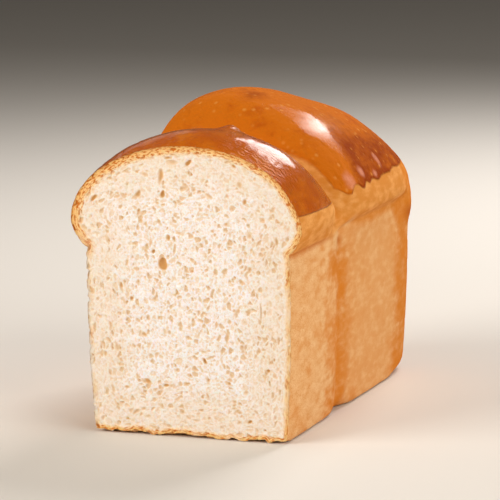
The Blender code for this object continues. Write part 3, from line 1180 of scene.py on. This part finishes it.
@dataclass
class CutFace:
    """The relief of the cut: pits of every size in a field of small square cells."""

    outline: Array
    pores: Sequence[Pore]
    foams: Sequence[Foam]
    kinds: Sequence[Bubbles]
    seed: int = 7
    cell: float = 0.25
    coarse: float = 2.0
    margin: float = 3.0
    low: Array = field(init=False)
    depth: Array = field(init=False)

    def __post_init__(self) -> None:
        """Lay out the cells and press every pit into them."""
        self.low = self.outline.min(axis=0) - self.margin
        size = self.outline.max(axis=0) + self.margin - self.low
        self.columns, self.rows = (int(math.ceil(value / self.cell)) for value in size)
        rng = np.random.default_rng(self.seed)
        self._measure_skin(size)
        self.warp = [self._cloud(rng, 9) * 0.55 + self._cloud(rng, 4) * 0.22 for _ in range(2)]
        self.depth = np.zeros((self.rows, self.columns))
        for foam in self.foams:
            self.depth += self._foam(rng, foam)
        for kind in self.kinds:
            self._scatter(rng, kind)
        for pore in self.pores:
            depth = pore.depth * min(pore.width, pore.height)
            self._press(pore.x, pore.z, 0.5 * pore.width, 0.5 * pore.height, math.radians(pore.turn), depth)

    def _cloud(self, rng: np.random.Generator, reach: int) -> Array:
        """Random values of about -1 to 1 over the cells, smoothed over a reach of cells."""
        made = rng.standard_normal((self.rows, self.columns))
        for axis in (0, 1):
            for _ in range(2):
                keep = made.shape[axis]
                wrapped = np.take(made, range(-reach, keep + reach), axis, mode="wrap")
                total = np.cumsum(wrapped, axis)
                late = np.take(total, range(2 * reach, 2 * reach + keep), axis)
                early = np.take(total, range(0, keep), axis)
                made = late - early
        return made / (2.0 * made.std())

    def _measure_skin(self, size: Array) -> None:
        """Find, on a coarse grid, how deep each place lies inside the outline and how its skin runs."""
        xs = np.arange(0.0, size[0] + 2 * self.coarse, self.coarse) + self.low[0]
        zs = np.arange(0.0, size[1] + 2 * self.coarse, self.coarse) + self.low[1]
        grid_x, grid_z = np.meshgrid(xs, zs)
        self.skin = self.depth_inside(np.stack([grid_x.ravel(), grid_z.ravel()], 1)).reshape(grid_x.shape)
        slope_z, slope_x = np.gradient(self.skin)
        heading = np.arctan2(slope_z, slope_x) + 0.5 * np.pi
        self.heading = (np.cos(2.0 * heading), np.sin(2.0 * heading))

    def depth_inside(self, places: Array) -> Array:
        """How far inside the outline each place lies, below 0 outside it."""
        a, b = self.outline, np.roll(self.outline, -1, axis=0)
        span = b - a
        length = np.maximum((span**2).sum(axis=1), 1e-9)
        out = np.empty(len(places))
        for start in range(0, len(places), 4000):
            part = places[start : start + 4000, None, :]
            away = part - a
            share = np.clip((away * span).sum(axis=2) / length, 0.0, 1.0)
            near = np.sqrt(((away - share[..., None] * span) ** 2).sum(axis=2)).min(axis=1)
            above = (a[:, 1] > part[..., 1]) != (b[:, 1] > part[..., 1])
            drop = np.where(np.abs(span[:, 1]) > 1e-9, span[:, 1], 1e-9)
            crossing = a[:, 0] + (part[..., 1] - a[:, 1]) * span[:, 0] / drop
            odd = (above & (part[..., 0] < crossing)).sum(axis=1) % 2
            out[start : start + 4000] = np.where(odd == 1, near, -near)
        return out

    def _coarse_value(self, grid: Array, x: float, z: float) -> float:
        """A value of a coarse grid at a place."""
        column = int(round((x - self.low[0]) / self.coarse))
        row = int(round((z - self.low[1]) / self.coarse))
        return float(grid[min(row, grid.shape[0] - 1), min(column, grid.shape[1] - 1)])

    def _window(self, x: float, z: float, reach: float) -> tuple[tuple[slice, slice], Array, Array]:
        """The cells round a place, with how far each lies from it across and up."""
        column = (x - self.low[0]) / self.cell
        row = (z - self.low[1]) / self.cell
        wide = reach / self.cell
        columns = slice(max(int(column - wide), 0), min(int(column + wide) + 2, self.columns))
        rows = slice(max(int(row - wide), 0), min(int(row + wide) + 2, self.rows))
        across = (np.arange(columns.start, columns.stop)[None, :] - column) * self.cell
        up = (np.arange(rows.start, rows.stop)[:, None] - row) * self.cell
        return (rows, columns), across, up

    def _turn(self, x: float, z: float) -> float:
        """The direction of the nearest skin, as an angle from across."""
        cosine, sine = (self._coarse_value(part, x, z) for part in self.heading)
        return 0.5 * math.atan2(sine, cosine)

    def _foam(self, rng: np.random.Generator, foam: Foam) -> Array:
        """The relief of one foam: each cell a bowl of its own depth, drawn out along the skin."""
        nearest = np.full((self.rows, self.columns), 9.0)
        second = np.full((self.rows, self.columns), 9.0)
        floor = np.zeros((self.rows, self.columns))
        high = self.outline.max(axis=0) + 1.0
        xs = np.arange(self.low[0], high[0], foam.spacing)
        zs = np.arange(self.low[1], high[1], foam.spacing)
        for z in zs:
            for x in xs:
                place_x, place_z = np.array([x, z]) + rng.uniform(-0.5, 0.5, 2) * foam.spacing
                weight, luck, spin = rng.uniform(0.75, 1.35), rng.random(), rng.normal(0.0, 0.35)
                inside = self._coarse_value(self.skin, place_x, place_z)
                if inside < -foam.spacing:
                    continue
                longer = 1.15 + 0.75 * math.exp(-max(inside, 0.0) / 9.0)
                turn = self._turn(place_x, place_z) + spin
                window, across, up = self._window(place_x, place_z, 1.9 * foam.spacing)
                across = across + 0.5 * foam.spacing * self.warp[0][window]
                up = up + 0.5 * foam.spacing * self.warp[1][window]
                along = (across * math.cos(turn) + up * math.sin(turn)) / longer
                over = (up * math.cos(turn) - across * math.sin(turn)) * longer
                away = weight * np.sqrt(along * along + over * over)
                closer = away < nearest[window]
                bottom = foam.deep if luck < foam.deep_share else foam.shallow * (0.4 + 1.2 * luck)
                second[window] = np.where(closer, nearest[window], np.minimum(second[window], away))
                floor[window] = np.where(closer, bottom, floor[window])
                nearest[window] = np.minimum(nearest[window], away)
        return floor * between(second - nearest, 0.15 * foam.wall, foam.wall + 0.35 * foam.spacing)

    def _scatter(self, rng: np.random.Generator, kind: Bubbles) -> None:
        """Press single bubbles of one kind all over the cut."""
        low, high = self.outline.min(axis=0), self.outline.max(axis=0)
        for _ in range(kind.count):
            x, z = rng.uniform(low, high)
            radius = kind.least + (kind.most - kind.least) * rng.random() ** 2.0
            spin, longer = rng.normal(0.0, 0.5), rng.uniform(1.0, 1.9)
            inside = self._coarse_value(self.skin, x, z)
            if inside < 1.5 * radius:
                continue
            turn = self._turn(x, z) + spin
            self._press(x, z, radius * longer, radius / math.sqrt(longer), turn, kind.depth * radius)

    def _press(self, x: float, z: float, along: float, across: float, turn: float, depth: float) -> None:
        """Press one bowl, its edge made uneven by the warp."""
        window, dx, dz = self._window(x, z, 1.6 * max(along, across) + 1.2)
        size = min(1.0, 0.8 * min(along, across))
        dx = dx + size * self.warp[0][window]
        dz = dz + size * self.warp[1][window]
        u = (dx * math.cos(turn) + dz * math.sin(turn)) / along
        v = (dz * math.cos(turn) - dx * math.sin(turn)) / across
        bowl = depth * np.clip(1.0 - (u * u + v * v) ** 1.3, 0.0, 1.0) ** 0.7
        self.depth[window] = np.maximum(self.depth[window], bowl)

    def depth_at(self, places: Array) -> Array:
        """The relief's depth at places on the cut."""
        column = np.clip((places[:, 0] - self.low[0]) / self.cell, 0, self.columns - 1.001)
        row = np.clip((places[:, 1] - self.low[1]) / self.cell, 0, self.rows - 1.001)
        c, r = column.astype(int), row.astype(int)
        fc, fr = column - c, row - r
        top = self.depth[r, c] * (1 - fc) + self.depth[r, c + 1] * fc
        bottom = self.depth[r + 1, c] * (1 - fc) + self.depth[r + 1, c + 1] * fc
        return top * (1 - fr) + bottom * fr


PORES = tuple(
    Pore(*row)
    for row in (
        (-10.0, 163.0, 4.8, 1.8, 5.0, 0.6), (-7.5, 160.5, 8.0, 3.0, 0.0, 0.25),
        (2.5, 160.5, 5.0, 2.6, 25.0, 0.5), (-15.0, 152.5, 3.8, 10.5, -12.0, 0.25),
        (-14.0, 142.5, 2.8, 5.8, -20.0, 0.5), (-29.0, 141.5, 3.4, 6.2, -25.0, 0.3),
        (-57.5, 138.5, 2.8, 6.8, -40.0, 0.45), (-25.0, 153.0, 5.2, 3.2, -10.0, 0.22),
        (-34.5, 156.0, 3.4, 1.3, 0.0, 0.5), (37.0, 139.0, 3.0, 4.2, -10.0, 0.35),
        (15.0, 142.0, 6.2, 2.6, -30.0, 0.3), (34.0, 148.5, 3.6, 4.8, 20.0, 0.22),
        (30.5, 159.0, 4.0, 2.2, -25.0, 0.5), (-11.5, 116.5, 3.0, 4.4, 0.0, 0.35),
        (-7.5, 116.0, 2.6, 2.6, 0.0, 0.35), (-33.0, 113.0, 3.0, 1.6, 35.0, 0.5),
        (-25.5, 109.0, 2.2, 3.8, 15.0, 0.35), (-20.5, 109.0, 2.4, 3.2, -25.0, 0.5),
        (25.0, 125.5, 2.2, 2.2, 0.0, 0.4), (-15.0, 101.0, 5.8, 8.4, 8.0, 0.28),
        (-5.5, 136.0, 2.0, 5.6, -8.0, 0.25), (-28.0, 126.5, 2.8, 4.0, 20.0, 0.3),
        (-17.0, 126.0, 2.4, 3.0, 0.0, 0.35), (-42.0, 88.0, 2.8, 5.2, 10.0, 0.35),
        (-40.0, 78.5, 1.8, 4.4, 15.0, 0.35), (-35.5, 81.0, 2.8, 2.6, 0.0, 0.4),
        (-20.5, 81.0, 2.8, 4.0, -10.0, 0.25), (-27.5, 60.0, 4.0, 2.6, -35.0, 0.35),
        (-45.5, 51.0, 2.6, 5.2, 5.0, 0.28), (-53.0, 47.0, 2.4, 3.2, 0.0, 0.35),
        (-5.0, 64.0, 2.4, 3.4, 0.0, 0.3), (-5.0, 78.0, 1.8, 5.2, -5.0, 0.3),
        (10.0, 73.5, 2.6, 2.0, 0.0, 0.4), (24.0, 59.5, 3.2, 7.2, -5.0, 0.25),
        (31.5, 76.0, 2.2, 3.2, -20.0, 0.35), (9.5, 45.5, 2.6, 3.4, 25.0, 0.5),
        (-26.5, 32.0, 5.6, 3.4, -35.0, 0.3), (-15.0, 30.0, 3.6, 2.4, 15.0, 0.5),
        (-33.5, 34.5, 2.4, 4.4, 30.0, 0.28), (-40.0, 27.5, 3.2, 2.0, -10.0, 0.45),
        (-7.5, 39.5, 2.6, 2.8, 0.0, 0.3), (11.5, 34.5, 2.6, 2.8, 0.0, 0.35),
        (24.5, 33.5, 2.6, 2.6, 0.0, 0.4), (11.0, 25.5, 1.6, 4.0, 20.0, 0.5),
        (-46.0, 16.5, 3.6, 2.0, -45.0, 0.4), (-30.0, 15.0, 3.8, 1.8, 5.0, 0.45),
        (-27.0, 11.0, 5.0, 1.6, 12.0, 0.4), (36.5, 11.5, 4.0, 2.0, 30.0, 0.6),
        (48.5, 42.0, 2.4, 2.4, 0.0, 0.5), (41.0, 50.0, 1.8, 3.2, -25.0, 0.4),
        (45.0, 76.0, 0.9, 14.0, -1.0, 1.0), (55.5, 117.0, 2.2, 6.2, 3.0, 0.4),
        (39.0, 120.0, 3.4, 3.4, 0.0, 0.22), (50.0, 119.0, 1.5, 6.0, 0.0, 0.3),
        (41.5, 110.0, 1.8, 4.0, 25.0, 0.35), (39.0, 100.5, 2.4, 3.0, 0.0, 0.35),
    )
)


@dataclass
class Crumb:
    """The crumb: the cut face with its bubbles, and the body that it closes, inside the crust."""

    crust: Crust
    placing: Placing
    spacing: float = 0.56
    jitter: float = 0.12
    gap: float = 0.45
    seed: int = 11
    set_back: float = 0.18
    tear: float = 0.16
    tear_size: float = 2.2
    uv_size: float = 180.0
    wall_band: float = 4.2
    dome_band: float = 5.4
    left_dome_band: float = 1.8
    left_shoulder: tuple[float, float, float] = (-62.0, 132.0, 22.0)
    inset: float = 0.02
    body_depth: float = 3.25
    body_start: float = 4.3
    foams: tuple[Foam, ...] = (
        Foam(2.9, 0.35, 0.2, 0.62, 0.2),
        Foam(1.35, 0.2, 0.16, 0.38, 0.12),
    )
    kinds: tuple[Bubbles, ...] = (Bubbles(260, 0.6, 1.3, 0.55),)
    finish: CrumbFinish = field(default_factory=CrumbFinish)

    def outline(self) -> Array:
        """The cut's outline, just inside the crust's edge, as x and z."""
        ring = self.crust.ring[:, (0, 2)]
        along = np.roll(ring, -1, axis=0) - np.roll(ring, 1, axis=0)
        along /= np.maximum(np.linalg.norm(along, axis=1, keepdims=True), 1e-9)
        return ring + self.inset * np.stack([-along[:, 1], along[:, 0]], axis=1)

    def face(self, outline: Array) -> tuple[Patch, CutFace]:
        """The cut face as a patch whose first points are the outline's, and its relief."""
        relief = CutFace(outline, PORES, self.foams, self.kinds)
        low, high = outline.min(axis=0), outline.max(axis=0)
        rows = np.arange(low[1], high[1], self.spacing * math.sqrt(0.75))
        columns = np.arange(low[0], high[0], self.spacing)
        across, up = np.meshgrid(columns, rows)
        across[1::2] += 0.5 * self.spacing
        places = np.stack([across.ravel(), up.ravel()], axis=1)
        rng = np.random.default_rng(self.seed)
        places = places + rng.uniform(-self.jitter, self.jitter, places.shape) * self.spacing
        places = places[relief.depth_inside(places) > self.gap * self.spacing]
        every = np.concatenate([outline, places])
        loop = list(range(len(outline)))
        made = delaunay_2d_cdt([Vector(row) for row in every], [], [loop], 1, 1e-6)
        flat = np.array([tuple(point) for point in made[0]])
        faces = [tuple(face) for face in made[2]]
        depth = relief.depth_at(flat)
        skin = relief.depth_inside(flat)
        on_cut = np.stack([flat[:, 0], flat[:, 1], flat[:, 0] * 0.0], 1)
        back = depth + self.set_back + self.tear * rough_field(on_cut, self.tear_size, 2, seed=2.0)
        back *= between(skin, -0.2, 0.5)
        a, b, c = (flat[[face[k] for face in faces]] for k in range(3))
        turn = (b[:, 0] - a[:, 0]) * (c[:, 1] - a[:, 1]) - (b[:, 1] - a[:, 1]) * (c[:, 0] - a[:, 0])
        faces = [face if way > 0 else face[::-1] for face, way in zip(faces, turn)]
        points = np.stack([flat[:, 0], back, flat[:, 1]], axis=1)
        scale = 0.98 / self.uv_size
        corners = np.array([
            (0.01 + (flat[corner, 0] - low[0]) * scale, 0.01 + (flat[corner, 1] - low[1]) * scale)
            for face in faces for corner in face
        ])
        return Patch(points, faces, corners), relief

    def build(self) -> bpy.types.Object:
        """Build the face and the body and dress them."""
        outline = self.outline()
        face, relief = self.face(outline)
        ring = np.stack([outline[:, 0], outline[:, 0] * 0.0, outline[:, 1]], axis=1)
        lining = self.crust.lining(self.body_depth, self.body_start)
        body = lining.patch((0.85, 0.01), (0.99, 0.9))
        edge = strip(lining.points[lining.ring], ring, (0.85, 0.92), (0.99, 0.99))
        edge.faces = [found[::-1] for found in edge.faces]
        edge.corners = edge.corners.reshape(-1, 4, 2)[:, ::-1].reshape(-1, 2)
        whole = joined([face, body, edge])
        rim = np.arange(len(outline))
        piece = make_object("crumb", whole, self.placing, self.fields(whole.points, relief), rim)
        piece.data.materials.append(self.finish.material())
        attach(piece, "root")
        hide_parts(LOAF_NODE)
        return piece

    def fields(self, points: Array, relief: CutFace) -> dict[str, Array]:
        """The values that the finish reads."""
        places = points[:, (0, 2)]
        skin = np.maximum(relief.depth_inside(places), 0.0)
        x, z = places.T
        high = between(z, 98.0, 122.0)
        low = 1.0 - between(z, 3.0, 9.0)
        left = 1.0 - between(x, -20.0, 20.0)
        domed = self.dome_band + self.left_dome_band * left - self.wall_band
        width = self.wall_band + domed * high + 1.2 * self.near(x, z, *self.left_shoulder) - 0.9 * low
        patchy = rough_field(points * (1.0, 0.0, 1.0), 11.0, 2, seed=37.0)
        browning = 0.8 - 0.5 * left + (0.2 + 0.5 * left) * high + (0.2 + 0.5 * left) * low
        return {
            "pit": relief.depth_at(places),
            "band": np.clip(skin / width, 0.0, 1.5),
            "browning": np.clip(browning + 0.5 * (1.0 - high) * patchy, 0.0, 1.0),
            "flecked": np.clip(0.5 + 0.5 * high + 0.5 * low + 0.5 * patchy * (1.0 - high), 0.0, 1.0),
            # Painted light: the cut grows paler from the crust towards its centre.
            "heart": between(skin, 3.0, 45.0),
            "skin": skin,
            "round": 70.0 * np.arctan2(x, z - 95.0),
        }

    @staticmethod
    def near(x: Array, z: Array, at_x: float, at_z: float, reach: float) -> Array:
        """1 at a place on the cut, fading to 0 round it."""
        return np.exp(-((x - at_x) ** 2 + (z - at_z) ** 2) / reach**2)


@dataclass
class HangingCrumbs:
    """Small crumbs that the knife left hanging on the edges of the cut."""

    crust: Crust
    placing: Placing
    on_left: int = 70
    elsewhere: int = 30
    highest: float = 118.0
    least: float = 0.25
    most: float = 0.8
    nearest: float = 0.4
    behind_cut: float = 2.2
    left_of: float = -50.0
    lumpiness: float = 0.45
    stretch: tuple[float, float] = (0.7, 1.3)
    seed: int = 17
    finish: CrumbFinish = field(default_factory=CrumbFinish)

    @staticmethod
    def lump() -> tuple[Array, list[tuple[int, ...]]]:
        """The points and faces of a ball of radius 1."""
        bm = bmesh.new()
        bmesh.ops.create_icosphere(bm, subdivisions=2, radius=1.0)
        points = np.array([tuple(vertex.co) for vertex in bm.verts])
        faces = [tuple(vertex.index for vertex in face.verts) for face in bm.faces]
        bm.free()
        return points, faces

    def build(self) -> bpy.types.Object:
        """Build every crumb into one piece and dress it."""
        rng = np.random.default_rng(self.seed)
        ball, faces = self.lump()
        ring = self.crust.ring[self.crust.ring[:, 2] < self.highest]
        left = ring[ring[:, 0] < self.left_of]
        seats = np.concatenate([rng.choice(left, self.on_left), rng.choice(ring, self.elsewhere)])
        corner = np.array([(0.1, 0.1), (0.9, 0.1), (0.5, 0.9)])
        across = int(math.ceil(math.sqrt(len(seats))))
        patches, shades = [], []
        for k, seat in enumerate(seats):
            radius = self.least + (self.most - self.least) * rng.random() ** 2.5
            shape = 1.0 + self.lumpiness * rough_field(ball, 0.9, 2, seed=50.0 + 3.0 * k)
            stretch = radius * rng.uniform(*self.stretch, 3)
            back = rng.uniform(self.nearest, self.behind_cut)
            middle = np.array([seat[0], max(back, 1.3 * radius), max(seat[2], 0.9 * radius)])
            corners = np.tile(corner, (len(faces), 1)) + (k % across, k // across)
            patches.append(Patch(middle + ball * shape[:, None] * stretch, faces, corners / across))
            shades.append(np.full(len(ball), rng.random() * (1.0 if seat[0] < 0.0 else 0.3)))
        whole = joined(patches)
        shade = np.concatenate(shades)
        fields = {"band": shade, "browning": 1.0 - 0.5 * shade, "heart": 1.0 - shade}
        piece = make_object("hanging_crumbs", whole, self.placing, fields, np.array([0]))
        piece.data.materials.append(self.finish.material())
        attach(piece, "root")
        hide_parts(LOAF_NODE)
        return piece


# ---------------------------------------------------------------------------------------------
# Studio
# ---------------------------------------------------------------------------------------------


@dataclass
class Studio:
    """A plain pale floor, soft light and the camera."""

    placing: Placing
    camera_place: tuple[float, float, float] = (566.0, -1317.8, 347.5)
    camera_aim: tuple[float, float, float] = (4.0, 88.7, 96.0)
    camera_roll: float = -1.38
    lens: float = 183.0
    floor_size: float = 40.0
    finish: FloorFinish = field(default_factory=FloorFinish)

    def build_floor(self) -> None:
        """Lay the floor under the loaf."""
        half = 0.5 * self.floor_size
        mesh = bpy.data.meshes.new("floor")
        height = self.placing.low[2]
        corners = [(-half, -half, height), (half, -half, height), (half, half, height), (-half, half, height)]
        mesh.from_pydata(corners, [], [(0, 1, 2, 3)])
        mesh.materials.append(self.finish.material())
        floor = bpy.data.objects.new("floor", mesh)
        bpy.context.scene.collection.objects.link(floor)

    def build_camera(self) -> None:
        """Stand the camera before the cut, to its right and a little above."""
        data = bpy.data.cameras.new("camera")
        data.lens = self.lens
        data.sensor_width = 36.0
        camera = bpy.data.objects.new("camera", data)
        place = self.placing.to_vector(*self.camera_place)
        aim = self.placing.to_vector(*self.camera_aim)
        turn = (aim - place).to_track_quat("-Z", "Y").to_matrix().to_4x4()
        camera.matrix_world = (
            Matrix.Translation(place) @ turn @ Matrix.Rotation(math.radians(self.camera_roll), 4, "Z")
        )
        bpy.context.scene.collection.objects.link(camera)
        bpy.context.scene.camera = camera

    def add_softbox(
        self, name: str, azimuth: float, elevation: float, distance: float, size: tuple[float, float],
        power: float, colour: Colour,
    ) -> None:
        """Hang a softbox that faces the loaf.

        Args:
            name: The light's name.
            azimuth: Its direction from the loaf, from +Y towards +X, in degrees.
            elevation: How far it stands above the horizon, in degrees.
            distance: Metres from the loaf.
            size: Its width and height in metres.
            power: Its power in watts.
            colour: The display colour of its light.
        """
        data = bpy.data.lights.new(name, "AREA")
        data.shape = "RECTANGLE"
        data.size, data.size_y = size
        data.energy = power
        data.color = linear(colour)[:3]
        a, e = math.radians(azimuth), math.radians(elevation)
        target = self.placing.to_vector(0.0, 90.0, 90.0)
        towards = Vector((math.sin(a) * math.cos(e), math.cos(a) * math.cos(e), math.sin(e)))
        light = bpy.data.objects.new(name, data)
        light.location = target + towards * distance
        light.rotation_euler = (-towards).to_track_quat("-Z", "Y").to_euler()
        bpy.context.scene.collection.objects.link(light)

    def build_lights(self) -> None:
        """Light the loaf from behind, from the front left, and all round."""
        self.add_softbox("back", 11.0, 42.0, 1.5, (0.6, 0.85), 17.0, (255, 252, 250))
        self.add_softbox("rim", -38.0, 30.0, 1.5, (0.45, 0.45), 0.3, (255, 250, 246))
        self.add_softbox("key", 226.0, 28.0, 1.9, (1.3, 1.1), 30.0, (255, 250, 243))
        self.add_softbox("fill", 112.0, 24.0, 1.9, (1.6, 1.4), 25.0, (255, 248, 238))
        world = bpy.data.worlds.new("studio")
        world.use_nodes = True
        sky = world.node_tree.nodes["Background"]
        sky.inputs["Color"].default_value = linear((255, 246, 234))
        sky.inputs["Strength"].default_value = 0.08
        bpy.context.scene.world = world

    def build(self) -> None:
        """Build the whole studio."""
        self.build_floor()
        self.build_camera()
        self.build_lights()
        bpy.context.scene.view_settings.view_transform = "Standard"


def main() -> None:
    """Build the loaf's pieces and the studio."""
    logging.basicConfig(level=logging.INFO, format="%(name)s: %(message)s")
    low, high = CAD_BOX
    form = LoafForm()
    placing = Placing(form, low, high)
    crust = Crust(form, placing)
    for piece in (crust.build(), Crumb(crust, placing).build(), HangingCrumbs(crust, placing).build()):
        log.info("%s: %d faces", piece.name, len(piece.data.polygons))
    Studio(placing).build()


if __name__ == "__main__":
    main()
